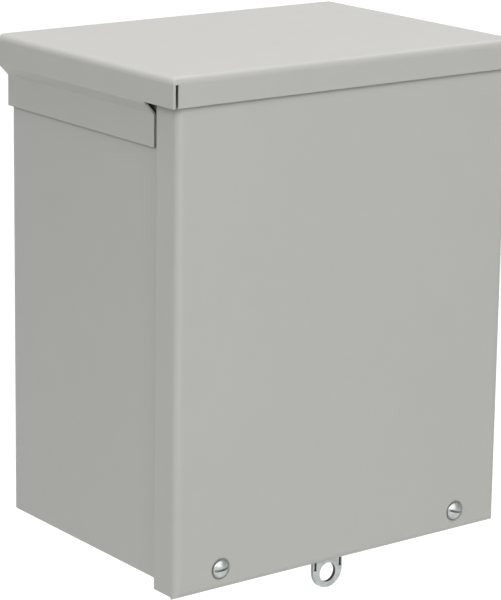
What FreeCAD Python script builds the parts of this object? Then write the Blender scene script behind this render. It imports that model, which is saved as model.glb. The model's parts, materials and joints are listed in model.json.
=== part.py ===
import FreeCAD, Part
import math
import os
import Sketcher

# Outdoor screw-cover box that hangs on a wall, with a drip top and a slip-on cover.
# Frame: origin at the centre of the four wall screws, in the wall's plane; +X to the
# right of someone facing the cover, +Y into the wall, +Z up. Every piece is drawn with
# Z = 0 at the body's bottom edge and is then lowered by half the box's height.

doc = FreeCAD.newDocument("screw_cover_box")
sheet = doc.addObject("Spreadsheet::Sheet", "sizes")

DRIVING_SIZES = [
    # the whole box
    ("box_wide", 203.2, "body width, outside"),
    ("box_tall", 254.0, "body bottom edge to the top of the drip top"),
    ("box_deep", 152.4, "wall plane to the cover's front face"),
    ("metal", 1.6, "sheet thickness of body, top, panel and cover"),
    ("bend", 2.0, "inside radius of every sheet bend"),
    # body
    ("wall_boss", 1.0, "height of the bosses that meet the wall"),
    ("boss_radius", 11.0, "radius of a wall boss at its foot"),
    ("mount_inset", 25.4, "wall hole from the body's edges"),
    ("mount_hole", 7.1, "wall hole diameter"),
    ("ground_inset", 60.0, "ground boss from the body's side"),
    ("ground_rise", 40.0, "ground boss above the bottom edge"),
    ("ground_boss", 10.0, "radius of the ground boss at its foot"),
    ("ground_deep", 5.0, "height of the ground boss into the box"),
    # drip top
    ("lid_overhang", 7.4, "drip top past the body's side"),
    ("lid_drop", 14.7, "depth of the drip top's flanges"),
    ("lid_gap", 0.7, "front flange to the cover's face"),
    ("slit_wide", 1.5, "open corner between front and side flange"),
    ("slit_top", 3.4, "top of that slit below the drip top"),
    ("tab_clear", 3.5, "gap from the cover's side flange to the welding tab"),
    ("tab_low", 37.4, "bottom of the welding tab below the drip top"),
    ("step_start", 0.7, "top of the inward step below the side flange"),
    ("step_drop", 6.1, "height over which the side steps in"),
    ("step_round", 1.4, "radius of the two creases of the step"),
    # cover
    ("cover_gap", 2.4, "cover's inner face to the body's front edge"),
    ("cover_clear", 1.0, "cover's side flange to the body's side"),
    ("cover_hang", 5.2, "cover's bottom below the body's bottom edge"),
    ("cover_flange", 17.7, "depth of the cover's flanges"),
    ("cover_top_gap", 1.5, "cover's top edge to the drip top"),
    ("corner_trim", 1.0, "side flange stops short of the cover's bottom"),
    ("corner_gap", 0.5, "end of the bottom flange to the side flange"),
    ("dimple_gap", 1.2, "mouth of the dimple to the screw head in it"),
    ("dimple_deep", 1.3, "depth of that dimple"),
    # bottom panel
    ("nut_room", 0.85, "top of a cover nut to the bottom panel above it"),
    ("knockout_pitch", 57.15, "distance between knockouts"),
    ("knockout_small", 11.1, "radius of the inner knockout"),
    ("knockout_large", 14.1, "radius of the outer knockout"),
    ("shear_gap", 0.2, "sheared line round a knockout"),
    ("tie_wide", 2.2, "width of the ties that hold a knockout"),
    ("tie_gap", 0.06, "end of a tie to the metal that it meets"),
    ("knockout_drop", 0.4, "inner knockout pushed down by its punch"),
    ("weep_radius", 2.4, "radius of a weep hole"),
    ("weep_inset", 18.0, "weep hole from the panel's edges"),
    # padlock tab
    ("hasp_wide", 18.8, "width of the padlock tab"),
    ("hasp_metal", 1.9, "thickness of the padlock tab"),
    ("hasp_setback", 10.9, "padlock tab behind the cover's face"),
    ("hasp_drop", 23.7, "end of the padlock tab below the body"),
    ("hasp_hole", 5.1, "radius of the padlock hole"),
    ("hasp_hole_drop", 15.6, "centre of the padlock hole below the body"),
    ("hasp_leg", 24.0, "length of the tab's leg under the bottom panel"),
    ("hasp_slot_clear", 0.8, "gap round the tab in the cover's slot"),
    ("slit_edge", 1.4, "middle of a relief slit from the tab's edge"),
    ("relief_wide", 1.4, "width of a relief slit"),
    ("relief_low", 13.6, "end of a relief slit below the body"),
    ("relief_high", 4.0, "start of a relief slit below the body"),
    ("rivet_spacing", 9.4, "distance between the two rivets"),
    ("rivet_setback", 14.0, "rivets behind the tab's front face"),
    ("rivet_radius", 1.6, "radius of a rivet's shank"),
    ("rivet_head", 2.9, "radius of a rivet's heads"),
    ("rivet_dome", 1.1, "height of a rivet's heads"),
    ("rivet_clear", 0.05, "rivet shank to its hole"),
    # fasteners
    ("screw_inset", 25.4, "cover screw from the body's side"),
    ("screw_rise", 5.5, "cover screw above the body's bottom edge"),
    ("thread_radius", 2.4, "radius of all screw threads"),
    ("thread_clear", 0.05, "thread to the hole that it turns in"),
    ("screw_clear", 0.5, "cover screw to its hole in the cover"),
    ("screw_long", 12.7, "cover screw under its head"),
    ("head_radius", 4.55, "radius of a cover screw's head"),
    ("head_edge", 1.2, "straight edge of a cover screw's head"),
    ("head_dome", 1.8, "dome on that edge"),
    ("drive_wide", 1.15, "width of a screwdriver slot"),
    ("drive_deep", 1.3, "depth of a screwdriver slot"),
    ("right_turn", 15.0, "how far the right screw's slot is turned"),
    ("retainer_radius", 4.4, "radius of a screw retainer"),
    ("retainer_thick", 0.8, "thickness of a screw retainer"),
    ("retainer_gap", 0.3, "retainer to the back of the cover's dimple"),
    ("nut_flats", 9.5, "square nut across its flats"),
    ("nut_thick", 3.2, "thickness of a square nut"),
    ("nut_edge", 0.5, "chamfer on a square nut"),
    ("ground_flats", 7.9, "ground screw's hexagon across its flats"),
    ("ground_head", 3.4, "height of the ground screw's head"),
    ("ground_long", 7.0, "ground screw under its head"),
    ("washer_radius", 5.6, "radius of the ground washer"),
    ("washer_thick", 0.9, "thickness of the ground washer"),
    ("tip_edge", 0.5, "chamfer at a screw's tip"),
]

for row, (alias, value, meaning) in enumerate(DRIVING_SIZES, 1):
    sheet.set(f"A{row}", meaning)
    sheet.set(f"B{row}", str(value))
    sheet.setAlias(f"B{row}", alias)
doc.recompute()


def size(expression):
    """The value in millimetres, or degrees, of an expression on the sheet."""
    return float(sheet.evalExpression(expression))


# Levels and faces that several pieces share, as expressions on the sheet.
HALF_WIDE = "sizes.box_wide / 2"
HALF_IN = f"({HALF_WIDE} - sizes.metal)"
BEND_OUT = "(sizes.bend + sizes.metal)"
BACK_OUT = "sizes.wall_boss"
BACK_IN = "(sizes.wall_boss + sizes.metal)"
BODY_FRONT = "(sizes.box_deep - sizes.metal - sizes.cover_gap)"
LID_HALF = f"({HALF_WIDE} + sizes.lid_overhang)"
LID_FRONT = "(sizes.box_deep + sizes.lid_gap + sizes.metal)"
LID_LOW = "(sizes.box_tall - sizes.lid_drop)"
COVER_HALF = f"({HALF_WIDE} + sizes.cover_clear + sizes.metal)"
COVER_TOP = "(sizes.box_tall - sizes.metal - sizes.cover_top_gap)"
COVER_BACK = "(sizes.box_deep - sizes.cover_flange)"
DIMPLE_FLOOR = "(sizes.box_deep - sizes.dimple_deep)"
DIMPLE_BACK = f"({DIMPLE_FLOOR} - sizes.metal)"
DIMPLE_MOUTH = "(sizes.head_radius + sizes.dimple_gap)"
PANEL_UNDER = "(sizes.screw_rise + sizes.nut_flats / 2 + sizes.nut_room)"
PANEL_TOP = f"({PANEL_UNDER} + sizes.metal)"
PANEL_MIDDLE = f"(({BODY_FRONT} + {BACK_IN}) / 2)"
FLANGE_BACK = f"({BODY_FRONT} - sizes.metal)"
SCREW_X = f"({HALF_WIDE} - sizes.screw_inset)"
HASP_FRONT = "(sizes.box_deep - sizes.hasp_setback)"
HASP_BACK = f"({HASP_FRONT} - sizes.hasp_metal)"
RIVET_Y = f"({HASP_FRONT} - sizes.rivet_setback)"
GROUND_X = f"({HALF_WIDE} - sizes.ground_inset)"
GROUND_FACE = f"({BACK_IN} + sizes.ground_deep)"
PAST = "1"  # how far a cut runs past the metal that it opens
BOSS_TAPER = -45.0  # degrees; the wall bosses narrow as they rise
DIMPLE_TAPER = -30.0  # degrees; the screw dimples have steeper walls
GROUND_TAPER = -30.0  # degrees; the ground boss is steeper
ON_PLACE = 0.01  # mm; an edge that lies this near to a place is at it
LEAST_CHANGE = 0.01  # cubic mm; a pad or pocket that changes less has missed


def new_body(label, x="0", y="0", z="0"):
    """A sub-part whose own zero lies at x, y, z above the body's bottom edge."""
    body = doc.addObject("PartDesign::Body", label)
    body.Label = label
    body.setExpression("Placement.Base.x", x)
    body.setExpression("Placement.Base.y", y)
    body.setExpression("Placement.Base.z", f"{z} - sizes.box_tall / 2")
    return body


def new_sketch(body, name, role, offset="0"):
    """A sketch on one of the body's own planes; XZ offsets run towards the front."""
    sketch = body.newObject("Sketcher::SketchObject", name)
    plane = next(f for f in body.Origin.OriginFeatures if f.Role == role)
    sketch.AttachmentSupport = [(plane, "")]
    sketch.MapMode = "FlatFace"
    sketch.setExpression("AttachmentOffset.Base.z", offset)
    return sketch


def pin_point(sketch, geometry, end, x, y):
    """Hold one point of the sketch at x, y from the sketch's origin."""
    for kind, expression in (("DistanceX", x), ("DistanceY", y)):
        datum = Sketcher.Constraint(kind, -1, 1, geometry, end, size(expression))
        index = sketch.addConstraint(datum)
        sketch.setExpression(f"Constraints[{index}]", expression)


def outline(sketch, points, domes=()):
    """Closed outline through points; a dome is an arc centred on the vertical axis."""
    spots = [FreeCAD.Vector(size(x), size(y), 0) for x, y in points]
    ends = []
    for index, here in enumerate(spots):
        there = spots[(index + 1) % len(spots)]
        if index in domes:
            rise = there.y - here.y
            across = there.x ** 2 - here.x ** 2
            middle = (here.y + there.y) / 2 + across / (2 * rise)
            centre = FreeCAD.Vector(0, middle, 0)
            circle = Part.Circle(centre, FreeCAD.Vector(0, 0, 1), (here - centre).Length)
            angles = [circle.parameter(here), circle.parameter(there)]
            forward = (angles[1] - angles[0]) % math.tau < math.pi
            first, last = angles if forward else reversed(angles)
            line = sketch.addGeometry(Part.ArcOfCircle(circle, first, last))
            sketch.addConstraint(Sketcher.Constraint("PointOnObject", line, 3, -2))
            ends.append((line, 1, 2) if forward else (line, 2, 1))
        else:
            line = sketch.addGeometry(Part.LineSegment(here, there))
            ends.append((line, 1, 2))
    for index, (line, start, _) in enumerate(ends):
        previous, _, finish = ends[index - 1]
        sketch.addConstraint(Sketcher.Constraint("Coincident", previous, finish, line, start))
        pin_point(sketch, line, start, *points[index])


def rectangle(sketch, left, right, low, high):
    outline(sketch, [(left, low), (right, low), (right, high), (left, high)])


def circle(sketch, x, y, radius):
    centre = FreeCAD.Vector(size(x), size(y), 0)
    drawn = Part.Circle(centre, FreeCAD.Vector(0, 0, 1), size(radius))
    index = sketch.addGeometry(drawn)
    pin_point(sketch, index, 3, x, y)
    datum = sketch.addConstraint(Sketcher.Constraint("Radius", index, size(radius)))
    sketch.setExpression(f"Constraints[{datum}]", radius)


def tongue(sketch, x, flat, centre, radius):
    """Straight sides from the flat end to a half round about the centre."""
    middle, level, reach = size(x), size(centre), size(radius)
    start, finish = (0, math.pi) if level > size(flat) else (math.pi, math.tau)
    round_end = Part.Circle(FreeCAD.Vector(middle, level, 0), FreeCAD.Vector(0, 0, 1), reach)
    sides = [FreeCAD.Vector(middle + reach, 0, 0), FreeCAD.Vector(middle - reach, 0, 0)]
    if start:
        sides.reverse()
    foot = [FreeCAD.Vector(side.x, size(flat), 0) for side in sides]
    shoulder = [FreeCAD.Vector(side.x, level, 0) for side in sides]
    arc = sketch.addGeometry(Part.ArcOfCircle(round_end, start, finish))
    up = sketch.addGeometry(Part.LineSegment(foot[0], shoulder[0]))
    down = sketch.addGeometry(Part.LineSegment(shoulder[1], foot[1]))
    base = sketch.addGeometry(Part.LineSegment(foot[1], foot[0]))
    for rule in (
        ("Coincident", down, 2, base, 1),
        ("Coincident", base, 2, up, 1),
        ("Tangent", up, 2, arc, 1),
        ("Tangent", down, 1, arc, 2),
        ("Vertical", up),
        ("Horizontal", base),
    ):
        sketch.addConstraint(Sketcher.Constraint(*rule))
    pin_point(sketch, arc, 3, x, centre)
    for kind, picked, expression in (
        ("Radius", (arc,), radius),
        ("DistanceY", (-1, 1, base, 1), flat),
    ):
        datum = sketch.addConstraint(Sketcher.Constraint(kind, *picked, size(expression)))
        sketch.setExpression(f"Constraints[{datum}]", expression)


def add_prism(body, name, kind, sketch, length, reverse=False, taper=0.0):
    """Pad or pocket; a pocket has to remove metal and a pad has to add it."""
    before = body.Tip.Shape.Volume if body.Tip else 0.0
    feature = body.newObject(f"PartDesign::{kind}", name)
    feature.Profile = sketch
    feature.setExpression("Length", length)
    feature.Reversed = reverse
    feature.TaperAngle = taper
    doc.recompute()
    change = feature.Shape.Volume - before
    if (change > 0) != (kind == "Pad") or abs(change) < LEAST_CHANGE:
        raise RuntimeError(f"{body.Label}.{name} changes the volume by {change:.3f}")


def pad(body, name, sketch, length, reverse=False, taper=0.0):
    add_prism(body, name, "Pad", sketch, length, reverse, taper)


def pocket(body, name, sketch, length, reverse=False, taper=0.0):
    add_prism(body, name, "Pocket", sketch, length, reverse, taper)


def line_at(axis, **places):
    """Picks straight edges that run along the axis at the given places."""
    wanted = {name: size(expression) for name, expression in places.items()}

    def picked(edge):
        if edge.Degenerated or edge.Curve.TypeId != "Part::GeomLine":
            return False
        first, last = (vertex.Point for vertex in edge.Vertexes)
        if any(abs(getattr(last - first, other)) > ON_PLACE for other in "xyz" if other != axis):
            return False
        return all(abs(getattr(first, name) - at) < ON_PLACE for name, at in wanted.items())

    return picked


def dress(body, name, kind, property_name, amount, *pickers):
    """Fillet or chamfer on the tip's edges that any of the pickers takes."""
    base = body.Tip
    edges = enumerate(base.Shape.Edges, 1)
    names = [f"Edge{index}" for index, edge in edges if any(p(edge) for p in pickers)]
    if len(names) < len(pickers):
        raise RuntimeError(f"{body.Label}.{name} finds {len(names)} edges")
    feature = body.newObject(f"PartDesign::{kind}", name)
    feature.Base = (base, names)
    feature.setExpression(property_name, amount)
    doc.recompute()


def fillet(body, name, radius, *pickers):
    dress(body, name, "Fillet", "Radius", radius, *pickers)


def revolve(body, name, sketch, axis):
    feature = body.newObject("PartDesign::Revolution", name)
    feature.Profile = sketch
    feature.ReferenceAxis = (sketch, [axis])
    feature.Angle = 360
    doc.recompute()


def negative(expression):
    return f"-({expression})"


def both_sides(x):
    """The same distance to the left and to the right of the middle."""
    return (negative(x), x)


def make_body_shell():
    """Back and two sides, one sheet bent at the rear corners."""
    body = new_body("body_shell")
    floor = new_sketch(body, "Footprint", "XY_Plane")
    rectangle(floor, *both_sides(HALF_WIDE), negative(BODY_FRONT), negative(BACK_OUT))
    pad(body, "Block", floor, "sizes.box_tall - sizes.metal")
    rear = [line_at("z", x=x, y=negative(BACK_OUT)) for x in both_sides(HALF_WIDE)]
    fillet(body, "OuterBends", BEND_OUT, *rear)
    inside = new_sketch(body, "Inside", "XY_Plane")
    front = negative(f"{BODY_FRONT} + {PAST}")
    rectangle(inside, *both_sides(HALF_IN), front, negative(BACK_IN))
    pocket(body, "Hollow", inside, "sizes.box_tall", reverse=True)
    corners = [line_at("z", x=x, y=negative(BACK_IN)) for x in both_sides(HALF_IN)]
    fillet(body, "InnerBends", "sizes.bend", *corners)

    mount_x = f"({HALF_WIDE} - sizes.mount_inset)"
    mount_z = ("sizes.mount_inset", "(sizes.box_tall - sizes.mount_inset)")
    spots = [(x, z) for x in both_sides(mount_x) for z in mount_z]
    raised = new_sketch(body, "WallBosses", "XZ_Plane", BACK_OUT)
    pressed = new_sketch(body, "WallBossRecess", "XZ_Plane", BACK_IN)
    holes = new_sketch(body, "WallHoles", "XZ_Plane")
    for x, z in spots:
        circle(raised, x, z, "sizes.boss_radius")
        circle(pressed, x, z, "sizes.boss_radius")
        circle(holes, x, z, "sizes.mount_hole / 2")
    pad(body, "Bosses", raised, "sizes.wall_boss", reverse=True, taper=BOSS_TAPER)
    pocket(body, "BossRecesses", pressed, "sizes.wall_boss", taper=BOSS_TAPER)
    pocket(body, "MountHoles", holes, f"{BACK_IN} + {PAST}", reverse=True)

    # The ground boss stands into the box, so the screw's tip stays off the wall.
    lifted = new_sketch(body, "GroundBoss", "XZ_Plane", BACK_IN)
    circle(lifted, GROUND_X, "sizes.ground_rise", "sizes.ground_boss")
    pad(body, "GroundBossRise", lifted, "sizes.ground_deep", taper=GROUND_TAPER)
    hollow = new_sketch(body, "GroundBossBack", "XZ_Plane", BACK_OUT)
    circle(hollow, GROUND_X, "sizes.ground_rise", "sizes.ground_boss")
    pocket(body, "GroundBossHollow", hollow, "sizes.ground_deep", reverse=True, taper=GROUND_TAPER)
    tapped = new_sketch(body, "GroundHole", "XZ_Plane")
    circle(tapped, GROUND_X, "sizes.ground_rise", "sizes.thread_radius + sizes.thread_clear")
    pocket(body, "GroundThread", tapped, f"{GROUND_FACE} + {PAST}", reverse=True)


def make_drip_top():
    """Roof with a front flange and stepped side flanges that are welded to the body."""
    body = new_body("drip_top")
    roof = new_sketch(body, "RoofOutline", "XY_Plane", LID_LOW)
    rectangle(roof, *both_sides(LID_HALF), negative(LID_FRONT), negative(BACK_OUT))
    pad(body, "Roof", roof, "sizes.lid_drop")
    top_front = line_at("x", y=negative(LID_FRONT), z="sizes.box_tall")
    top_sides = [line_at("y", x=x, z="sizes.box_tall") for x in both_sides(LID_HALF)]
    fillet(body, "RoofBends", BEND_OUT, top_front, *top_sides)
    lid_in = f"({LID_HALF} - sizes.metal)"
    front_in = negative(f"({LID_FRONT} - sizes.metal)")
    inside = new_sketch(body, "Underside", "XY_Plane", LID_LOW)
    rectangle(inside, *both_sides(lid_in), front_in, PAST)
    pocket(body, "Hollow", inside, "sizes.lid_drop - sizes.metal", reverse=True)
    ceiling = "(sizes.box_tall - sizes.metal)"
    in_front = line_at("x", y=front_in, z=ceiling)
    in_sides = [line_at("y", x=x, z=ceiling) for x in both_sides(lid_in)]
    fillet(body, "InnerBends", "sizes.bend", in_front, *in_sides)

    slits = new_sketch(body, "CornerSlits", "XZ_Plane", f"{LID_FRONT} + {PAST}")
    slit_in = f"({lid_in} - sizes.slit_wide)"
    slit_low = f"({LID_LOW} - {PAST})"
    slit_high = "(sizes.box_tall - sizes.slit_top)"
    rectangle(slits, slit_in, lid_in, slit_low, slit_high)
    rectangle(slits, negative(lid_in), negative(slit_in), slit_low, slit_high)
    pocket(body, "OpenCorners", slits, f"sizes.metal + sizes.bend + {PAST}")

    step = new_sketch(body, "SideSteps", "XZ_Plane", BACK_OUT)
    step_high = f"({LID_LOW} - sizes.step_start)"
    step_low = f"({step_high} - sizes.step_drop)"
    tab_low = "(sizes.box_tall - sizes.tab_low)"
    profile = [
        (lid_in, LID_LOW),
        (lid_in, step_high),
        (HALF_WIDE, step_low),
        (HALF_WIDE, tab_low),
        (f"({HALF_WIDE} + sizes.metal)", tab_low),
        (f"({HALF_WIDE} + sizes.metal)", step_low),
        (LID_HALF, step_high),
        (LID_HALF, LID_LOW),
    ]
    outline(step, profile)
    outline(step, [(negative(x), z) for x, z in profile])
    pad(body, "WeldingTabs", step, f"{COVER_BACK} - sizes.tab_clear - {BACK_OUT}")
    creases = [line_at("y", x=x, z=step_high) for x in both_sides(LID_HALF)]
    tab_face = f"({HALF_WIDE} + sizes.metal)"
    creases += [line_at("y", x=x, z=step_low) for x in both_sides(tab_face)]
    fillet(body, "StepCreases", "sizes.step_round", *creases)


def make_bottom_panel():
    """Panel with flanges turned down, notched so that the cover screws drop out."""
    body = new_body("bottom_panel")
    outer = new_sketch(body, "Outline", "XY_Plane")
    rectangle(outer, *both_sides(HALF_IN), negative(BODY_FRONT), negative(BACK_IN))
    pad(body, "Block", outer, PANEL_TOP)
    faces = [negative(BODY_FRONT), negative(BACK_IN)]
    upright = [line_at("z", x=x, y=y) for x in both_sides(HALF_IN) for y in faces]
    fillet(body, "Corners", BEND_OUT, *upright)
    fillet(body, "TopBends", BEND_OUT, line_at("x", y=faces[0], z=PANEL_TOP))
    half_in = f"({HALF_IN} - sizes.metal)"
    inner = new_sketch(body, "Underside", "XY_Plane")
    inner_front = negative(FLANGE_BACK)
    inner_back = negative(f"({BACK_IN} + sizes.metal)")
    rectangle(inner, *both_sides(half_in), inner_front, inner_back)
    pocket(body, "Hollow", inner, PANEL_UNDER, reverse=True)
    inner_faces = [inner_front, inner_back]
    uprights = [line_at("z", x=x, y=y) for x in both_sides(half_in) for y in inner_faces]
    fillet(body, "InnerCorners", "sizes.bend", *uprights)

    notches = new_sketch(body, "ScrewNotches", "XZ_Plane", f"{BODY_FRONT} + {PAST}")
    for x in both_sides(SCREW_X):
        half_notch = "sizes.thread_radius + sizes.screw_clear"
        tongue(notches, x, negative(PAST), "sizes.screw_rise", half_notch)
    pocket(body, "Notches", notches, f"sizes.metal + 2 * {PAST}")

    openings = new_sketch(body, "Openings", "XY_Plane")
    for x in knockout_places():
        circle(openings, x, negative(PANEL_MIDDLE), "sizes.knockout_large")
    weep_x = f"({HALF_IN} - sizes.weep_inset)"
    weep_y = negative(f"({BACK_IN} + sizes.weep_inset)")
    for x in both_sides(weep_x):
        circle(openings, x, weep_y, "sizes.weep_radius")
    for x in both_sides("sizes.rivet_spacing / 2"):
        circle(openings, x, negative(RIVET_Y), "sizes.rivet_radius + sizes.rivet_clear")
    pocket(body, "PunchedHoles", openings, PANEL_TOP, reverse=True)


def knockout_places():
    return (negative("sizes.knockout_pitch"), "0", "sizes.knockout_pitch")


def make_knockout(side, x):
    """Inner disc and outer ring of one knockout, each held by two short ties."""
    ring_edge = "(sizes.knockout_large - sizes.shear_gap)"
    disc_edge = "(sizes.knockout_small - sizes.shear_gap)"
    half_tie = "sizes.tie_wide / 2"
    pieces = (
        (f"knockout_ring_{side}", ring_edge, "sizes.knockout_large", PANEL_UNDER, False),
        (
            f"knockout_disc_{side}",
            disc_edge,
            "sizes.knockout_small",
            f"({PANEL_UNDER} - sizes.knockout_drop)",
            True,
        ),
    )
    for label, edge, wall, level, ties_along_y in pieces:
        body = new_body(label, x, negative(PANEL_MIDDLE), level)
        face = new_sketch(body, "Face", "XY_Plane")
        circle(face, "0", "0", edge)
        if "ring" in label:
            circle(face, "0", "0", "sizes.knockout_small")
        pad(body, "Plate", face, "sizes.metal")
        ties = new_sketch(body, "TieOutline", "XY_Plane")
        root = f"({edge} - 2 * sizes.shear_gap)"
        reach = f"({wall} - sizes.tie_gap)"
        for near, far in ((root, reach), (negative(reach), negative(root))):
            if ties_along_y:
                rectangle(ties, *both_sides(half_tie), near, far)
            else:
                rectangle(ties, near, far, *both_sides(half_tie))
        pad(body, "Ties", ties, "sizes.metal")


def make_cover():
    """Front sheet with side and bottom flanges; it slips on from below."""
    body = new_body("cover")
    low = negative("sizes.cover_hang")
    front = negative("sizes.box_deep")
    inner_front = negative("(sizes.box_deep - sizes.metal)")
    face = new_sketch(body, "FaceOutline", "XZ_Plane", COVER_BACK)
    rectangle(face, *both_sides(COVER_HALF), low, COVER_TOP)
    pad(body, "Block", face, "sizes.cover_flange")
    side_edges = [line_at("z", x=x, y=front) for x in both_sides(COVER_HALF)]
    fillet(body, "OuterBends", BEND_OUT, *side_edges, line_at("x", y=front, z=low))
    half_in = f"({COVER_HALF} - sizes.metal)"
    low_in = negative("(sizes.cover_hang - sizes.metal)")
    inside = new_sketch(body, "Inside", "XZ_Plane", f"{COVER_BACK} - {PAST}")
    rectangle(inside, *both_sides(half_in), low_in, f"{COVER_TOP} + {PAST}")
    pocket(body, "Hollow", inside, f"sizes.cover_flange - sizes.metal + {PAST}", reverse=True)
    inner_edges = [line_at("z", x=x, y=inner_front) for x in both_sides(half_in)]
    inner_edges.append(line_at("x", y=inner_front, z=low_in))
    fillet(body, "InnerBends", "sizes.bend", *inner_edges)

    # Both lower corners are open: the flanges are bent up from one flat sheet.
    trims = new_sketch(body, "CornerTrims", "XZ_Plane", f"{COVER_BACK} - {PAST}")
    gaps = new_sketch(body, "CornerGaps", "XZ_Plane", f"{COVER_BACK} - {PAST}")
    past_side = f"({COVER_HALF} + {PAST})"
    past_low = negative(f"(sizes.cover_hang + {PAST})")
    trim_high = negative("(sizes.cover_hang - sizes.corner_trim)")
    gap_high = negative("(sizes.cover_hang - sizes.metal - sizes.bend)")
    gap_in = f"({half_in} - sizes.corner_gap)"
    for near, far, sketch, high in (
        (half_in, past_side, trims, trim_high),
        (gap_in, half_in, gaps, gap_high),
    ):
        rectangle(sketch, near, far, past_low, high)
        rectangle(sketch, negative(far), negative(near), past_low, high)
    open_deep = f"sizes.cover_flange - {BEND_OUT} + {PAST}"
    pocket(body, "CornerTrim", trims, open_deep, reverse=True)
    pocket(body, "CornerGap", gaps, open_deep, reverse=True)

    slot = new_sketch(body, "TabSlot", "XY_Plane")
    half_slot = "(sizes.hasp_wide / 2 + sizes.hasp_slot_clear)"
    slot_front = negative(f"({HASP_FRONT} + sizes.hasp_slot_clear)")
    slot_back = negative(f"({HASP_BACK} - sizes.hasp_slot_clear)")
    rectangle(slot, *both_sides(half_slot), slot_front, slot_back)
    pocket(body, "TabSlotCut", slot, f"sizes.cover_hang + {PAST}")

    # A dimple round each screw brings its head back towards the bottom panel.
    pushed = new_sketch(body, "DimpleBack", "XZ_Plane", "sizes.box_deep - sizes.metal")
    sunk = new_sketch(body, "DimpleFront", "XZ_Plane", "sizes.box_deep")
    holes = new_sketch(body, "ScrewHoles", "XZ_Plane", "sizes.box_deep")
    for x in both_sides(SCREW_X):
        circle(pushed, x, "sizes.screw_rise", f"{DIMPLE_MOUTH} + sizes.metal")
        circle(sunk, x, "sizes.screw_rise", DIMPLE_MOUTH)
        circle(holes, x, "sizes.screw_rise", "sizes.thread_radius + sizes.screw_clear")
    pad(body, "DimpleRise", pushed, "sizes.dimple_deep", reverse=True, taper=DIMPLE_TAPER)
    pocket(body, "Dimples", sunk, "sizes.dimple_deep", taper=DIMPLE_TAPER)
    pocket(body, "ScrewHoleCut", holes, f"sizes.metal + sizes.dimple_deep + {PAST}")


def make_padlock_tab():
    """Bent padlock tab: the leg is riveted under the panel, the tab hangs down."""
    body = new_body("padlock_tab")
    half = "sizes.hasp_wide / 2"
    plate = new_sketch(body, "TabOutline", "XZ_Plane", HASP_BACK)
    round_centre = f"({half} - sizes.hasp_drop)"
    tongue(plate, "0", PANEL_UNDER, round_centre, half)
    pad(body, "Tab", plate, "sizes.hasp_metal")
    leg = new_sketch(body, "LegOutline", "XY_Plane", f"{PANEL_UNDER} - sizes.hasp_metal")
    leg_back = negative(f"({HASP_FRONT} - sizes.hasp_leg)")
    rectangle(leg, *both_sides(half), negative(HASP_BACK), leg_back)
    pad(body, "Leg", leg, "sizes.hasp_metal")
    bend_out = "sizes.hasp_metal + sizes.bend"
    fillet(body, "OuterBend", bend_out, line_at("x", y=negative(HASP_FRONT), z=PANEL_UNDER))
    crook = line_at("x", y=negative(HASP_BACK), z=f"{PANEL_UNDER} - sizes.hasp_metal")
    fillet(body, "InnerBend", "sizes.bend", crook)

    cuts = new_sketch(body, "HoleAndSlits", "XZ_Plane", HASP_FRONT)
    circle(cuts, "0", negative("sizes.hasp_hole_drop"), "sizes.hasp_hole")
    for x in both_sides(f"({half} - sizes.slit_edge)"):
        near = f"({x} - sizes.relief_wide / 2)"
        far = f"({x} + sizes.relief_wide / 2)"
        low, high = negative("sizes.relief_low"), negative("sizes.relief_high")
        rectangle(cuts, near, far, low, high)
    pocket(body, "PadlockHole", cuts, f"sizes.hasp_metal + {PAST}")
    rivets = new_sketch(body, "RivetHoles", "XY_Plane")
    for x in both_sides("sizes.rivet_spacing / 2"):
        circle(rivets, x, negative(RIVET_Y), "sizes.rivet_radius + sizes.rivet_clear")
    pocket(body, "RivetHoleCut", rivets, PANEL_UNDER, reverse=True)


def make_rivet(side, x):
    """Rivet with a domed head under the leg and another on the panel."""
    body = new_body(f"tab_rivet_{side}", x, negative(RIVET_Y), PANEL_UNDER)
    section = new_sketch(body, "Section", "XZ_Plane")
    low, high = "-sizes.hasp_metal", "sizes.metal"
    points = [
        ("0", f"{low} - sizes.rivet_dome"),
        ("sizes.rivet_head", low),
        ("sizes.rivet_radius", low),
        ("sizes.rivet_radius", high),
        ("sizes.rivet_head", high),
        ("0", f"{high} + sizes.rivet_dome"),
    ]
    outline(section, points, domes=(0, 4))
    revolve(body, "Turned", section, "V_Axis")


def cut_drive_slot(body, top, reach):
    """Screwdriver slot across a head whose top lies at that height."""
    slot = new_sketch(body, "DriveSlot", "XZ_Plane", top)
    half = "sizes.drive_wide / 2"
    rectangle(slot, *both_sides(reach), negative(half), half)
    pocket(body, "DriveSlotCut", slot, "sizes.drive_deep")


def make_cover_screw(side, x, turn):
    """Slotted screw; its own zero is under the head, and the head faces -Y."""
    seat = negative(DIMPLE_FLOOR)
    body = new_body(f"cover_screw_{side}", x, seat, "sizes.screw_rise")
    body.Placement.Rotation = FreeCAD.Rotation(FreeCAD.Vector(0, 1, 0), turn)
    section = new_sketch(body, "Section", "XY_Plane")
    points = [
        ("0", "-sizes.head_edge - sizes.head_dome"),
        ("sizes.head_radius", "-sizes.head_edge"),
        ("sizes.head_radius", "0"),
        ("sizes.thread_radius", "0"),
        ("sizes.thread_radius", "sizes.screw_long - sizes.tip_edge"),
        ("sizes.thread_radius - sizes.tip_edge", "sizes.screw_long"),
        ("0", "sizes.screw_long"),
    ]
    outline(section, points, domes=(0,))
    revolve(body, "Turned", section, "V_Axis")
    cut_drive_slot(body, "sizes.head_edge + sizes.head_dome", f"sizes.head_radius + {PAST}")


def make_retainer(side, x):
    """Push-on washer that keeps a loosened screw in the cover."""
    front = f"({DIMPLE_BACK} - sizes.retainer_gap)"
    body = new_body(f"screw_retainer_{side}", x, negative(front), "sizes.screw_rise")
    face = new_sketch(body, "Face", "XZ_Plane")
    circle(face, "0", "0", "sizes.retainer_radius")
    circle(face, "0", "0", "sizes.thread_radius + sizes.thread_clear")
    pad(body, "Washer", face, "sizes.retainer_thick", reverse=True)


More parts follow.
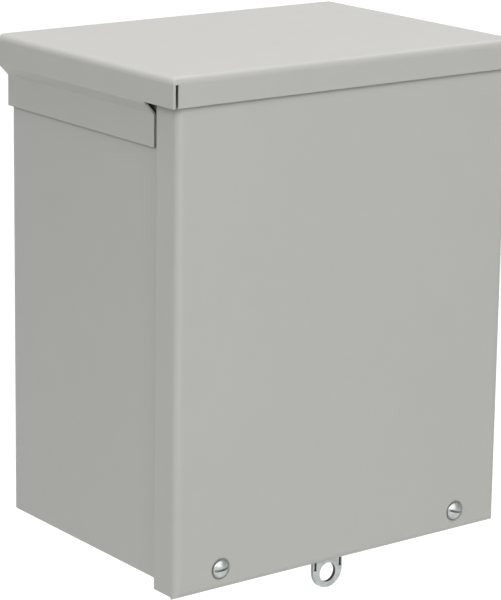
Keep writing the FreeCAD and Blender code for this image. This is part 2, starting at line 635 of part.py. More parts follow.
def make_nut(side, x):
    """Square nut behind the panel's front flange; the panel keeps it from turning."""
    body = new_body(f"cover_nut_{side}", x, negative(FLANGE_BACK), "sizes.screw_rise")
    half = "sizes.nut_flats / 2"
    face = new_sketch(body, "Face", "XZ_Plane")
    rectangle(face, *both_sides(half), *both_sides(half))
    pad(body, "Block", face, "sizes.nut_thick", reverse=True)
    for name, y in (("FrontChamfer", "0"), ("BackChamfer", "sizes.nut_thick")):
        edges = [line_at("x", y=y, z=z) for z in both_sides(half)]
        edges += [line_at("z", x=corner, y=y) for corner in both_sides(half)]
        dress(body, name, "Chamfer", "Size", "sizes.nut_edge", *edges)
    bore = new_sketch(body, "Bore", "XZ_Plane", PAST)
    circle(bore, "0", "0", "sizes.thread_radius + sizes.thread_clear")
    pocket(body, "Thread", bore, f"sizes.nut_thick + 2 * {PAST}")


def make_ground_screw():
    """Hexagon screw with a slot, threaded into the ground boss over a washer."""
    seat = f"({GROUND_FACE} + sizes.washer_thick)"
    body = new_body("ground_screw", GROUND_X, negative(seat), "sizes.ground_rise")
    head = new_sketch(body, "Hexagon", "XZ_Plane")
    corner = "sizes.ground_flats / 2 / cos(30 deg)"
    turns = [60 * step for step in range(6)]
    outline(head, [(f"{corner} * cos({a} deg)", f"{corner} * sin({a} deg)") for a in turns])
    pad(body, "Head", head, "sizes.ground_head")
    shank = new_sketch(body, "Shank", "XZ_Plane")
    circle(shank, "0", "0", "sizes.thread_radius")
    pad(body, "Thread", shank, "sizes.ground_long", reverse=True)
    cut_drive_slot(body, "sizes.ground_head", f"{corner} + {PAST}")

    washer = new_body("ground_washer", GROUND_X, negative(GROUND_FACE), "sizes.ground_rise")
    face = new_sketch(washer, "Face", "XZ_Plane")
    circle(face, "0", "0", "sizes.washer_radius")
    circle(face, "0", "0", "sizes.thread_radius + sizes.thread_clear")
    pad(washer, "Washer", face, "sizes.washer_thick")


make_body_shell()
make_drip_top()
make_bottom_panel()
make_cover()
make_padlock_tab()
make_ground_screw()
for side, place in zip(("left", "centre", "right"), knockout_places()):
    make_knockout(side, place)
for side, place in zip(("left", "right"), both_sides("sizes.rivet_spacing / 2")):
    make_rivet(side, place)
for side, place in zip(("left", "right"), both_sides(SCREW_X)):
    make_cover_screw(side, place, size("sizes.right_turn") if side == "right" else 0)
    make_retainer(side, place)
    make_nut(side, place)
doc.recompute()

failed = [o.Name for o in doc.Objects if {"Invalid", "Error"} & set(o.State)]
if failed:
    raise RuntimeError(f"failed objects: {failed}")

pieces = [o for o in doc.Objects if o.TypeId == "PartDesign::Body"]
for piece in pieces:
    if piece.Shape.isNull() or not piece.Shape.isValid() or len(piece.Shape.Solids) != 1:
        raise RuntimeError(f"{piece.Label} is not one valid solid")

os.makedirs("parts", exist_ok=True)
for piece in pieces:
    piece.Shape.exportStep(os.path.join("parts", f"{piece.Label}.step"))
    box = piece.Shape.BoundBox
    print(f"{piece.Label}: {box.XLength:.2f} x {box.YLength:.2f} x {box.ZLength:.2f} mm")
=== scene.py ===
import json
import math

import bmesh
import bpy
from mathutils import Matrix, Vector


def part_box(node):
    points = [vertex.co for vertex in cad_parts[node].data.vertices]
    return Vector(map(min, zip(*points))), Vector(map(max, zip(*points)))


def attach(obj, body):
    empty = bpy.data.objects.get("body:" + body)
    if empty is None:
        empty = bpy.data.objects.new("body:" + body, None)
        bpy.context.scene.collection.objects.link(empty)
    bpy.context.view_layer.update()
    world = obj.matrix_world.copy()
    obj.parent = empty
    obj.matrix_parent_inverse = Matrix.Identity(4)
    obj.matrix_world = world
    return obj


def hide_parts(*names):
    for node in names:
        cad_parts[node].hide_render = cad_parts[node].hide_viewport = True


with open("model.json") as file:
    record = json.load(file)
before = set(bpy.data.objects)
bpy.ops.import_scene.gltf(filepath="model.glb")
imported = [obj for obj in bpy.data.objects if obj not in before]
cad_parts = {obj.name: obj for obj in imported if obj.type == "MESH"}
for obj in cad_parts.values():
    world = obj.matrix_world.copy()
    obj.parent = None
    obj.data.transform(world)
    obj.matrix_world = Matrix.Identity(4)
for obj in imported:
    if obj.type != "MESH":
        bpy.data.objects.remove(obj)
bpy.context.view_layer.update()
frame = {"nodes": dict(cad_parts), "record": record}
nodes = frame["nodes"]
mm = 0.001
hair = 0.01 * mm  # overlap of a cutting shape, and slack when faces are picked by their place
print("frame loaded:", len(nodes), "nodes")


class Wire:
    # one output of a material's node tree; arithmetic on it adds Math nodes
    def __init__(self, finish, socket):
        self.finish = finish
        self.socket = socket

    def maths(self, operation, *values):
        return self.finish.node("Math", {"operation": operation}, dict(enumerate(values)))

    def __add__(self, other):
        return self.maths("ADD", self, other)

    def __sub__(self, other):
        return self.maths("SUBTRACT", self, other)

    def __rsub__(self, other):
        return self.maths("SUBTRACT", other, self)

    def __mul__(self, other):
        return self.maths("MULTIPLY", self, other)

    def unsigned(self):
        return self.maths("ABSOLUTE", self)

    def atLeast(self, other):
        return self.maths("MAXIMUM", self, other)

    def clamped(self):
        return self.maths("MINIMUM", self.atLeast(0.0), 1.0)

    def fadeIn(self, over):
        # 0 where the value is negative, then rising to 1 over that stretch
        return (self * (1 / over)).clamped()


class Finish:
    # the nodes of one material, or of the world, and the few moves that they are built with
    def __init__(self, owner):
        self.owner = owner
        owner.use_nodes = True
        self.tree = owner.node_tree
        self.tree.nodes.clear()

    def node(self, kind, settings=None, inputs=None, output=0):
        made = self.tree.nodes.new("ShaderNode" + kind)
        for key, value in (settings or {}).items():
            if key == "stops":
                self.setStops(made.color_ramp, value)
            else:
                setattr(made, key, value)
        for key, value in (inputs or {}).items():
            if isinstance(value, Wire):
                self.tree.links.new(value.socket, made.inputs[key])
            else:
                made.inputs[key].default_value = value
        return Wire(self, made.outputs[output]) if made.outputs else None

    def setStops(self, ramp, stops):
        while len(ramp.elements) < len(stops):
            ramp.elements.new(0.5)
        for element, (place, level) in zip(ramp.elements, stops):
            element.position = place
            element.color = (level, level, level, 1)

    def places(self):
        return self.node("TexCoord", output="Object")

    def stretched(self, scale):
        return self.node("Mapping", inputs={"Vector": self.places(), "Scale": scale})

    def split(self, vector, axis):
        return self.node("SeparateXYZ", inputs={0: vector}, output=axis)

    def trueNormal(self):
        return self.node("NewGeometry", output="True Normal")

    def noise(self, scale, detail=2.0, rough=0.5, vector=None):
        inputs = {"Vector": vector or self.places(), "Scale": scale}
        inputs.update({"Detail": detail, "Roughness": rough})
        return self.node("TexNoise", inputs=inputs)

    def ramp(self, value, *stops):
        return self.node("ValToRGB", {"stops": stops}, {"Fac": value})

    def blend(self, factor, first, second):
        return self.node("Mix", {"data_type": "RGBA"}, {0: factor, 6: first, 7: second}, output=2)

    def edges(self, radius):
        # 0 on a flat face, towards 1 where the sheet turns within that radius, and the soft normal
        soft = self.node("Bevel", {"samples": 6}, {"Radius": radius})
        facing = {0: soft, 1: self.trueNormal()}
        along = self.node("VectorMath", {"operation": "DOT_PRODUCT"}, facing, output="Value")
        return (1.0 - along).clamped(), soft

    def crevice(self, reach):
        # 1 deep in a gap narrower than about that reach, 0 on open faces
        inputs = {"Distance": reach, "Normal": self.trueNormal()}
        seen = self.node("AmbientOcclusion", {"samples": 8}, inputs, output="AO")
        return self.ramp(seen, (0.35, 1), (0.8, 0))

    def bump(self, height, distance, normal=None):
        inputs = {"Height": height, "Distance": distance}
        if normal:
            inputs["Normal"] = normal
        return self.node("Bump", inputs=inputs)

    def surface(self, sockets):
        shader = self.node("BsdfPrincipled", inputs=sockets)
        self.node("OutputMaterial", inputs={"Surface": shader})
        return self.owner


# noise lies round one half, so the last term of each roughness brings it back to the set one

paintLook = {
    "colour": (0.418, 0.423, 0.395, 1),
    "darker": (0.402, 0.408, 0.382, 1),
    "lifted": (0.440, 0.445, 0.415, 1),  # painted highlight along bends and cut edges, where the paint film is also thinner
    "edge": 0.45 * mm,
    "edgeHighlightGain": 1.6,
    "shaded": (0.10, 0.103, 0.095, 1),  # painted shade down in the gaps between sheets
    "gap": 4.0 * mm,
    "dimpleTop": 3 * mm,  # above the screw heads
    "dimpleFade": 2 * mm,
    "dimpleShade": 0.25,
    "roughness": 0.36,
    "cloudScale": 9.0,
    "patchScale": 70.0,
    "grainScale": 1500.0,
    "peelScale": 620.0,
    "rippleScale": 55.0,
    "peelHeight": 0.012 * mm,
}


def greyPaint():
    look = paintLook
    finish = Finish(bpy.data.materials.new("grey_paint"))
    cloud = finish.noise(look["cloudScale"], 3.0)
    patch = finish.noise(look["patchScale"], 4.0, 0.6)
    grain = finish.noise(look["grainScale"])
    mottle = (cloud * 0.55 + patch * 0.35 + grain * 0.1).clamped()
    colour = finish.blend(finish.ramp(mottle, (0.3, 0), (0.7, 1)), look["darker"], look["colour"])
    rim, soft = finish.edges(look["edge"])
    # lighter along bends and cut edges: painted highlight
    colour = finish.blend((rim * look["edgeHighlightGain"]).clamped(), colour, look["lifted"])
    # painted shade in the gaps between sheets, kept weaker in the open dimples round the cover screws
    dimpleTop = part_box("cover_screw_left")[1].z + look["dimpleTop"]
    above = (finish.split(finish.places(), "Z") - dimpleTop).fadeIn(look["dimpleFade"])
    shaded = finish.crevice(look["gap"]) * (above * (1 - look["dimpleShade"]) + look["dimpleShade"])
    colour = finish.blend(shaded, colour, look["shaded"])
    peel = finish.noise(look["peelScale"], 2.0, 0.45)
    ripple = finish.noise(look["rippleScale"], 1.0)
    relief = finish.bump(peel + ripple * 1.5, look["peelHeight"], soft)
    rough = patch * 0.10 + grain * 0.05 + (look["roughness"] - 0.075)
    return finish.surface({"Base Color": colour, "Roughness": rough, "Normal": relief})


zincLook = {
    "bright": (0.70, 0.735, 0.705, 1),
    "blue": (0.54, 0.58, 0.57, 1),
    "warm": (0.72, 0.72, 0.66, 1),
    "cut": (0.09, 0.097, 0.092, 1),  # painted shade on sheared edges, hole walls and the screw slots
    "metallic": 0.92,
    "roughness": 0.43,
    "edge": 0.3 * mm,
    "edgeHighlightGain": 0.7,
    "bloomScale": 260.0,
    "tintScale": 420.0,
    "streak": (700.0, 700.0, 90.0),  # smallest along the way that the metal was drawn
    "relief": 0.012 * mm,
}


def zincPlate(name, streak=zincLook["streak"], shade=None):
    look = zincLook
    finish = Finish(bpy.data.materials.new(name))
    bloom = finish.noise(look["bloomScale"], 3.0, 0.55)
    tint = finish.noise(look["tintScale"])
    draw = finish.noise(1.0, 3.0, 0.6, finish.stretched(streak))
    plate = finish.blend(finish.ramp(bloom, (0.35, 0), (0.65, 1)), look["bright"], look["blue"])
    plate = finish.blend(finish.ramp(tint, (0.52, 0), (0.72, 0.55)), plate, look["warm"])
    rim, soft = finish.edges(look["edge"])
    # lighter along rounded edges: painted edge highlight
    plate = finish.blend((rim * look["edgeHighlightGain"]).clamped(), plate, look["bright"])
    if shade:
        # darkened where the given mask says: painted shade
        plate = finish.blend(shade(finish), plate, look["cut"])
    rough = draw * 0.22 + bloom * 0.14 + (look["roughness"] - 0.12)
    relief = finish.bump(draw * 0.7 + bloom * 0.3, look["relief"], soft)
    sockets = {"Base Color": plate, "Roughness": rough, "Normal": relief}
    sockets["Metallic"] = look["metallic"]
    return finish.surface(sockets)


nylonLook = {
    "dull": (0.80, 0.785, 0.72, 1),
    "pale": (0.90, 0.89, 0.845, 1),
    "roughness": 0.44,
    "cloudScale": 900.0,
    "grainScale": 2400.0,
    "relief": 0.01 * mm,
    "seeThrough": 0.15,
    "depth": 0.6 * mm,
}


def nylon():
    look = nylonLook
    finish = Finish(bpy.data.materials.new("nylon"))
    cloud = finish.noise(look["cloudScale"], 3.0)
    colour = finish.blend(cloud, look["dull"], look["pale"])
    relief = finish.bump(finish.noise(look["grainScale"]), look["relief"])
    rough = cloud * 0.12 + (look["roughness"] - 0.06)
    sockets = {"Base Color": colour, "Roughness": rough, "Normal": relief}
    sockets.update({"Subsurface Weight": look["seeThrough"], "Subsurface Scale": look["depth"]})
    return finish.surface(sockets)


greenLook = {
    "deep": (0.016, 0.17, 0.065, 1),
    "light": (0.035, 0.27, 0.11, 1),
    "bare": (0.62, 0.66, 0.62, 1),  # metal where the dye has worn off the edges
    "roughness": 0.335,
    "edge": 0.3 * mm,
    "cloudScale": 500.0,
    "wearScale": 1300.0,
    "relief": 0.012 * mm,
}


def greenFinish():
    look = greenLook
    finish = Finish(bpy.data.materials.new("green_finish"))
    cloud = finish.noise(look["cloudScale"], 3.0)
    rim, soft = finish.edges(look["edge"])
    worn = finish.ramp(rim + finish.noise(look["wearScale"], 3.0) * 0.25, (0.30, 0), (0.42, 0.8))
    dye = finish.blend(cloud, look["deep"], look["light"])
    colour = finish.blend(worn, dye, look["bare"])
    relief = finish.bump(cloud, look["relief"], soft)
    rough = cloud * 0.15 + (look["roughness"] - 0.075)
    sockets = {"Base Color": colour, "Roughness": rough, "Normal": relief}
    sockets["Metallic"] = worn * 0.4 + 0.5
    return finish.surface(sockets)


finishes = {
    "grey_paint": greyPaint(),
    "zinc_plate": zincPlate("zinc_plate"),
    "nylon": nylon(),
    "green_finish": greenFinish(),
}
for sub in frame["record"]["subparts"]:
    piece = nodes[sub["node"]]
    piece.data.materials.clear()
    piece.data.materials.append(finishes[sub["material_slot"]])


padlockLook = {
    "legDrop": 8.1 * mm,  # from the tab's top down to where it hangs clear of the bottom panel
    "legFade": 1.0 * mm,
    "rim": 0.4 * mm,  # a band along the outline, where the painted shade is weaker than in the hole and slits
    "rimFade": 2.5 * mm * mm,  # an area, as the distances are compared squared
    "rimShade": 0.4,
    "streak": (90.0, 700.0, 700.0),
}


def tabEdgeShade(finish):
    # painted shade on the hanging leg's cut edges, which face neither front nor back
    look = padlockLook
    low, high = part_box("padlock_tab")
    radius = (high.x - low.x) / 2  # of the tab's half-round end
    facing = finish.split(finish.trueNormal(), "Y")
    edge = finish.ramp(facing.unsigned(), (0.35, 1), (0.7, 0))
    across = finish.split(finish.places(), "X")
    level = finish.split(finish.places(), "Z")
    hanging = (high.z - look["legDrop"] - level).fadeIn(look["legFade"])
    below = (low.z + radius - level).atLeast(0.0)
    inner = radius - look["rim"]
    outline = (across * across + below * below - inner ** 2).fadeIn(look["rimFade"])
    return edge * hanging * (1.0 - outline * (1 - look["rimShade"]))


tabPlate = zincPlate("zinc_plate_tab", padlockLook["streak"], tabEdgeShade)
nodes["padlock_tab"].data.materials[0] = tabPlate
print("finishes made")


def freshStart():
    if bpy.context.object and bpy.context.object.mode != "OBJECT":
        bpy.ops.object.mode_set(mode="OBJECT")
    bpy.ops.object.select_all(action="DESELECT")


def choose(piece):
    # makes it the only selected piece, and the active one
    freshStart()
    bpy.context.view_layer.objects.active = piece
    piece.select_set(True)


def inEdit(piece):
    choose(piece)
    bpy.ops.object.mode_set(mode="EDIT")
    bpy.ops.mesh.select_mode(type="VERT")
    bpy.ops.mesh.select_all(action="DESELECT")


def pick(piece, kind, wanted):
    # selects the faces or edges for which wanted is true
    mesh = bmesh.from_edit_mesh(piece.data)
    bpy.ops.mesh.select_mode(type=kind)
    bpy.ops.mesh.select_all(action="DESELECT")
    for part in mesh.faces if kind == "FACE" else mesh.edges:
        part.select_set(bool(wanted(part)))
    bmesh.update_edit_mesh(piece.data)


def lengthwise(edge):
    # whether it runs along the Y axis and not round it
    return abs(edge.verts[0].co.y - edge.verts[1].co.y) > mm


def applied(piece, kind, **settings):
    choose(piece)
    modifier = piece.modifiers.new(kind.lower(), kind)
    for key, value in settings.items():
        setattr(modifier, key, value)
    bpy.ops.object.modifier_apply(modifier=modifier.name)
    return piece


def carved(piece, other, operation):
    applied(piece, "BOOLEAN", object=other, operation=operation, solver="EXACT")
    bpy.data.objects.remove(other)
    return piece


gaugeSides = 96  # of the round gauges that turn corners off


def rod(radius, front, back, sides):
    # a cylinder round the Y axis from front to back
    freshStart()
    middle = (0, (front + back) / 2, 0)
    lying = (math.pi / 2, 0, 0)
    bpy.ops.mesh.primitive_cylinder_add(
        vertices=sides, radius=radius, depth=back - front, location=middle, rotation=lying
    )
    bpy.ops.object.transform_apply(location=True, rotation=True)
    return bpy.context.object


def slab(wide, front, back, tall):
    freshStart()
    bpy.ops.mesh.primitive_cube_add(size=1, location=(0, (front + back) / 2, 0))
    bpy.context.object.scale = (wide, back - front, tall)
    bpy.ops.object.transform_apply(location=True, scale=True)
    return bpy.context.object


def onAxis(node, level):
    # the point at that place along Y on the line through the middle of a CAD node
    low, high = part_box(node)
    return ((low.x + high.x) / 2, level, (low.z + high.z) / 2)


def seated(piece, name, spot, turn=0.0):
    # moves a piece that was made round the origin to its place, and names it
    piece.location = spot
    piece.rotation_euler = (0, turn, 0)
    choose(piece)
    bpy.ops.object.transform_apply(location=True, rotation=True)
    piece.name = name
    piece.data.name = name
    return piece


edgeWear = {
    "sharp": math.radians(35),  # edges that turn by more are rounded
    "smooth": math.radians(30),  # faces that meet at less are shaded as one
    "segments": 2,
}


def crisp(piece, width):
    # a small worn-in rounding on every hard edge
    applied(
        piece,
        "BEVEL",
        width=width,
        segments=edgeWear["segments"],
        limit_method="ANGLE",
        angle_limit=edgeWear["sharp"],
        use_clamp_overlap=True,
    )
    choose(piece)
    bpy.ops.object.shade_smooth_by_angle(angle=edgeWear["smooth"])
    return piece


threadShape = {
    "pitch": 25.4 / 32 * mm,
    "crest": 2.37 * mm,
    "root": 1.95 * mm,
    "flank": 0.42,  # a tooth's two flanks and two flats, as shares of the pitch
    "crestFlat": 0.10,
    "rootFlat": 0.06,
    "steps": 40,
    "early": 1.5,  # turns made in front of the first cut
    "spare": 3,  # turns made beyond the length, so that both ends are cut from whole teeth
    "merge": 0.004 * mm,
    "cutting": 0.0001 * mm,  # tolerance of the end cuts; a coarse one leaves them open
    "sunk": 0.3 * mm,  # how far a shank reaches into its head
    "cone": 0.85 * mm,
    "gaugeRoom": 0.2 * mm,
    "gaugeLong": 20 * mm,
    "coneSides": 48,
}


def threadedRod(front, back, crest=threadShape["crest"], root=threadShape["root"]):
    # a helical thread round the Y axis, cut square at both ends
    look = threadShape
    pitch = look["pitch"]
    freshStart()
    bpy.ops.mesh.primitive_plane_add(size=mm)
    piece = bpy.context.object
    inEdit(piece)
    bpy.ops.mesh.select_all(action="SELECT")
    bpy.ops.mesh.merge(type="CENTER")
    bpy.ops.transform.translate(value=(root, front - look["early"] * pitch, 0))
    rise = crest - root
    flank = look["flank"]
    for across, along in ((rise, flank), (0, look["crestFlat"]), (-rise, flank), (0, look["rootFlat"])):
        move = {"value": (across, along * pitch, 0)}
        bpy.ops.mesh.extrude_vertices_move(TRANSFORM_OT_translate=move)
    bpy.ops.object.mode_set(mode="OBJECT")
    applied(
        piece,
        "SCREW",
        axis="Y",
        angle=math.tau,
        screw_offset=pitch,
        iterations=math.ceil((back - front) / pitch) + look["spare"],
        steps=look["steps"],
        render_steps=look["steps"],
    )
    inEdit(piece)
    bpy.ops.mesh.select_all(action="SELECT")
    bpy.ops.mesh.remove_doubles(threshold=look["merge"])
    for end, way in ((front, -1), (back, 1)):
        cut = {"plane_co": (0, end, 0), "plane_no": (0, way, 0), "threshold": look["cutting"]}
        bpy.ops.mesh.select_all(action="SELECT")
        bpy.ops.mesh.bisect(use_fill=True, clear_outer=True, **cut)
    bpy.ops.mesh.select_all(action="SELECT")
    bpy.ops.mesh.normals_make_consistent(inside=False)
    bpy.ops.object.mode_set(mode="OBJECT")
    return piece


def pointed(piece, back):
    # turns the tip of a thread down to a short cone
    look = threadShape
    gauge = rod(look["crest"] + look["gaugeRoom"], -look["gaugeLong"], back + hair, look["coneSides"])
    inEdit(gauge)
    pick(gauge, "EDGE", lambda e: all(v.co.y > back for v in e.verts))
    bpy.ops.mesh.bevel(offset=look["cone"], segments=1)
    bpy.ops.object.mode_set(mode="OBJECT")
    return carved(piece, gauge, "INTERSECT")


coverScrew = {
    "head": 4.55 * mm,
    "sides": 72,
    "edge": 1.2 * mm,
    "dome": 1.75 * mm,
    "cadDome": 1.8 * mm,  # the dome stays just inside the CAD one
    "rings": 9,
    "underBevel": 0.28 * mm,
    "rimBevel": 0.3 * mm,
    "worn": 0.07 * mm,
    "slotWide": 1.15 * mm,
    "slotDeep": 1.35 * mm,
    "slotShade": 0.6,
    "shadeFade": 0.25 * mm,
    "wallBelow": 0.1 * mm,  # how far past the slot's floor its walls are shaded
    "floorAbove": 0.3 * mm,  # how far above the slot's floor the shading of flat faces starts
    "turns": {"left": math.radians(-5), "right": math.radians(15)},
}


def screwHead():
    look = coverScrew
    head = rod(look["head"], -look["edge"], 0, look["sides"])
    inEdit(head)
    pick(head, "FACE", lambda f: f.normal.y < -0.9)
    # the dome is an arc of a ball whose radius follows from the head's size
    ball = (look["head"] ** 2 + look["dome"] ** 2) / (2 * look["dome"])
    reach = math.asin(look["head"] / ball)
    wide = look["head"]
    high = 0.0
    for ring in range(1, look["rings"]):
        angle = reach * (1 - ring / look["rings"])
        nextWide = ball * math.sin(angle)
        nextHigh = ball * (math.cos(angle) - math.cos(reach))
        bpy.ops.mesh.extrude_region_move(TRANSFORM_OT_translate={"value": (0, high - nextHigh, 0)})
        ratio = nextWide / wide
        bpy.ops.transform.resize(value=(ratio, 1, ratio), center_override=(0, 0, 0))
        wide = nextWide
        high = nextHigh
    bpy.ops.mesh.poke()
    pick(head, "EDGE", lambda e: all(v.co.y > -hair for v in e.verts))
    bpy.ops.mesh.bevel(offset=look["underBevel"], segments=2)

    def onRim(vertex):
        return abs(vertex.co.y + look["edge"]) < hair and vertex.co.xz.length > look["head"] - hair

    pick(head, "EDGE", lambda e: all(onRim(v) for v in e.verts))
    bpy.ops.mesh.bevel(offset=look["rimBevel"], segments=3)
    bpy.ops.object.mode_set(mode="OBJECT")
    top = look["edge"] + look["dome"]
    slot = slab(look["head"] * 3, -top - mm, look["slotDeep"] - top, look["slotWide"])
    return carved(head, slot, "DIFFERENCE")


def slotShade(finish):
    # painted shade on the walls and floor of the screwdriver slot, told from the dome by slope and depth
    look = coverScrew
    fade = look["shadeFade"]
    facing = finish.split(finish.trueNormal(), "Y")
    depth = finish.split(finish.places(), "Y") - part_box("cover_screw_left")[0].y
    inHead = (look["edge"] + look["dome"] - depth).fadeIn(fade)
    wall = finish.ramp(facing.unsigned(), (0.15, 1), (0.3, 0))
    wall = wall * (look["slotDeep"] + look["wallBelow"] - depth).fadeIn(fade)
    flat = finish.ramp(facing * -1.0, (0.985, 0), (0.995, 1))
    flat = flat * (depth - look["slotDeep"] + look["floorAbove"]).fadeIn(fade)
    return wall.atLeast(flat) * inHead * look["slotShade"]


def makeCoverScrews():
    look = coverScrew
    metal = zincPlate("zinc_plate_screw", shade=slotShade)
    for side, turn in look["turns"].items():
        node = "cover_screw_" + side
        low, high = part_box(node)
        long = high.y - low.y - look["edge"] - look["cadDome"]
        shank = pointed(threadedRod(-threadShape["sunk"], long), long)
        screw = carved(screwHead(), shank, "UNION")
        crisp(screw, look["worn"])
        seated(screw, "slotted_cover_screw_" + side, onAxis(node, high.y - long), turn)
        screw.data.materials.append(metal)
        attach(screw, "screw_" + side)
        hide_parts(node)


makeCoverScrews()
print("cover screws made")


squareNut = {
    "flats": 9.5 * mm,
    "thick": 3.2 * mm,
    "corner": 0.35 * mm,
    "gauge": 6.6 * mm,
    "gaugeBevel": 0.725 * mm,
    "boreCrest": 2.62 * mm,
    "boreRoot": 2.44 * mm,
    "through": 0.2 * mm,
    "worn": 0.08 * mm,
}


def makeNut(side):
    look = squareNut
    node = "cover_nut_" + side
    nut = slab(look["flats"], 0, look["thick"], look["flats"])
    inEdit(nut)
    pick(nut, "EDGE", lengthwise)
    bpy.ops.mesh.bevel(offset=look["corner"], segments=3)
    bpy.ops.object.mode_set(mode="OBJECT")
    # a round gauge with bevelled rims turns the corners off on both faces
    gauge = rod(look["gauge"], -hair, look["thick"] + hair, gaugeSides)
    inEdit(gauge)
    pick(gauge, "EDGE", lambda e: not lengthwise(e))
    bpy.ops.mesh.bevel(offset=look["gaugeBevel"], segments=1)
    bpy.ops.object.mode_set(mode="OBJECT")
    carved(nut, gauge, "INTERSECT")
    through = look["through"]
    bore = threadedRod(-through, look["thick"] + through, look["boreCrest"], look["boreRoot"])
    carved(nut, bore, "DIFFERENCE")
    crisp(nut, look["worn"])
    seated(nut, "square_cover_nut_" + side, onAxis(node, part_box(node)[0].y))
    nut.data.materials.append(finishes["zinc_plate"])
    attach(nut, "nut_" + side)
    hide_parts(node)


for side in ("left", "right"):
    makeNut(side)
print("nuts made")


groundScrew = {
    "flats": 7.9 * mm,
    "head": 3.4 * mm,
    "long": 7.0 * mm,
    "chamfer": 0.75 * mm,
    "gaugeRoom": 0.1 * mm,
    "slotWide": 1.15 * mm,
    "slotDeep": 1.3 * mm,
    "worn": 0.08 * mm,
}


def makeGroundScrew():
    look = groundScrew
    top = look["head"]
    corner = look["flats"] / 2 / math.cos(math.pi / 6)
    head = rod(corner, -top, 0, 6)
    gauge = rod(corner + look["gaugeRoom"], -top - hair, hair, gaugeSides)
    inEdit(gauge)
    pick(gauge, "EDGE", lambda e: all(v.co.y < -top for v in e.verts))
    bpy.ops.mesh.bevel(offset=look["chamfer"], segments=1)
    bpy.ops.object.mode_set(mode="OBJECT")
    carved(head, gauge, "INTERSECT")
    slot = slab(corner * 3, -top - mm, look["slotDeep"] - top, look["slotWide"])
    carved(head, slot, "DIFFERENCE")
    shank = pointed(threadedRod(-threadShape["sunk"], look["long"]), look["long"])
    screw = carved(head, shank, "UNION")
    crisp(screw, look["worn"])
    # turned so that its corners lie where the CAD hexagon has them
    low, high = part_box("ground_screw")
    cadWide = high.x - low.x > high.z - low.z
    madeWide = max(v.co.x for v in screw.data.vertices) > max(v.co.z for v in screw.data.vertices)
    turn = 0 if cadWide == madeWide else math.pi / 6
    seated(screw, "hex_ground_screw", onAxis("ground_screw", high.y - look["long"]), turn)
    screw.data.materials.append(finishes["green_finish"])
    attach(screw, "ground")
    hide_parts("ground_screw")


makeGroundScrew()
print("ground screw made")


white = (1.0, 1.0, 1.0)
studio = {
    "floor": -0.46,
    "floorRadius": 9.0,
    "dim": 0.2,  # the half of the room behind the camera
    "bright": 0.7,  # the white sweep behind the object
    "sweep": (-0.35, 0.45),  # where the room turns from dim to bright
    "bounce": (0.65, 0.65, 0.65, 1),  # how much light the floor throws back up
    "floorRoughness": 0.8,
    "pale": ((0.90, 0.90, 0.90, 1), (0.94, 0.94, 0.94, 1)),
    "paleScale": 3.0,
    "glow": 1.15,
    "shadow": 0.12,  # how much of the object's shadow shows on the floor
    "lamps": {
        "overhead": {"size": 1.6, "spot": (0.1, 0.45, 2.0), "power": 37.0, "tint": (0.985, 0.935, 0.975)},
        "front": {"size": 1.8, "spot": (0.09, -1.95, 1.05), "power": 26.6, "tint": white},
        "left": {"size": 1.1, "spot": (-1.70, -1.25, 1.20), "power": 24.3, "tint": white},
        "right": {"size": 1.2, "spot": (1.90, 0.60, 0.80), "power": 9.0, "tint": white},
    },
}


def makeWorld():
    world = bpy.data.worlds.new("studio_white")
    bpy.context.scene.world = world
    room = Finish(world)
    # the room runs from dim in front of the object to bright behind it
    way = room.split(room.node("TexCoord", output="Generated"), "Y")
    start, end = studio["sweep"]
    reach = {"From Min": start, "From Max": end, "To Min": studio["dim"], "To Max": studio["bright"]}
    level = room.node("MapRange", {"interpolation_type": "SMOOTHSTEP"}, {"Value": way, **reach})
    lit = room.node("Background", inputs={"Strength": level})
    seen = room.node("Background", inputs={"Color": (1, 1, 1, 1)})
    camera = room.node("LightPath", output="Is Camera Ray")
    both = room.node("MixShader", inputs={0: camera, 1: lit, 2: seen})
    room.node("OutputWorld", inputs={"Surface": both})


def softbox(name, look):
    lamp = bpy.data.lights.new(name, "AREA")
    lamp.shape = "SQUARE"
    lamp.size = look["size"]
    lamp.energy = look["power"]
    lamp.color = look["tint"]
    box = bpy.data.objects.new(name, lamp)
    bpy.context.scene.collection.objects.link(box)
    box.location = look["spot"]
    box.rotation_mode = "QUATERNION"
    box.rotation_quaternion = (-Vector(look["spot"])).to_track_quat("-Z", "Y")


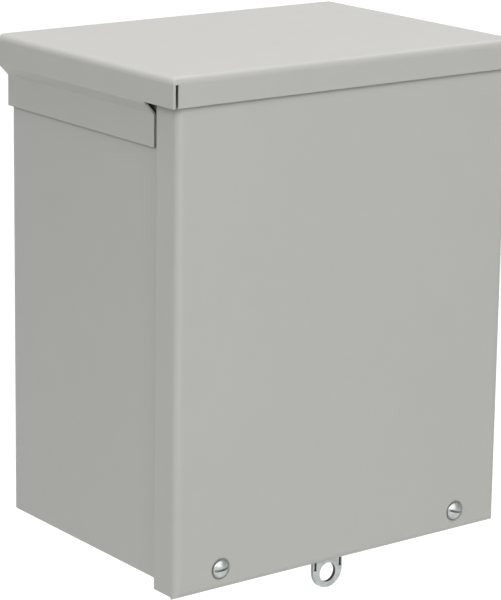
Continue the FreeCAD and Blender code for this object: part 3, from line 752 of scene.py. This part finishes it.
def makeFloor():
    freshStart()
    bpy.ops.mesh.primitive_circle_add(
        vertices=96, radius=studio["floorRadius"], fill_type="NGON", location=(0, 0, studio["floor"])
    )
    floor = bpy.context.object
    floor.name = "pale_floor"
    finish = Finish(bpy.data.materials.new("pale_floor"))
    cloud = finish.noise(studio["paleScale"])
    matt = {"Base Color": studio["bounce"], "Roughness": studio["floorRoughness"]}
    lit = finish.node("BsdfPrincipled", inputs=matt)
    glow = finish.node("Emission", inputs={"Color": (1, 1, 1, 1), "Strength": studio["glow"]})
    shadowed = finish.node("BsdfDiffuse", inputs={"Color": finish.blend(cloud, *studio["pale"])})
    seen = finish.node("MixShader", inputs={0: studio["shadow"], 1: glow, 2: shadowed})
    camera = finish.node("LightPath", output="Is Camera Ray")
    both = finish.node("MixShader", inputs={0: camera, 1: lit, 2: seen})
    finish.node("OutputMaterial", inputs={"Surface": both})
    floor.data.materials.append(finish.owner)


cameraLook = {
    "spot": (-0.8226, -1.1587, 0.3457),
    "azimuth": math.radians(37.117),
    "pitch": math.radians(13.160),
    "roll": math.radians(0.821),
    "lens": 161.6,
    "sensor": 36,
    "shift": -0.125,
    "near": 0.05,
    "far": 60,
}


def makeCamera():
    look = cameraLook
    lens = bpy.data.cameras.new("camera")
    lens.lens = look["lens"]
    lens.sensor_width = look["sensor"]
    lens.shift_y = look["shift"]
    lens.clip_start = look["near"]
    lens.clip_end = look["far"]
    camera = bpy.data.objects.new("camera", lens)
    bpy.context.scene.collection.objects.link(camera)
    flat = math.cos(look["pitch"])
    ahead = Vector(
        (math.sin(look["azimuth"]) * flat, math.cos(look["azimuth"]) * flat, -math.sin(look["pitch"]))
    )
    camera.location = look["spot"]
    aim = ahead.to_track_quat("-Z", "Y").to_matrix()
    # rolled round the line of sight
    tilt = Vector((math.cos(look["roll"]), math.sin(look["roll"]), 0))
    right = aim @ tilt
    turned = aim.copy()
    turned.col[0] = right
    turned.col[1] = right.cross(ahead).normalized()
    camera.rotation_mode = "QUATERNION"
    camera.rotation_quaternion = turned.to_quaternion()
    bpy.context.scene.camera = camera


makeWorld()
for place, lamp in studio["lamps"].items():
    softbox(place + "_softbox", lamp)
makeFloor()
makeCamera()
bpy.context.scene.view_settings.view_transform = "Standard"
print("studio made")
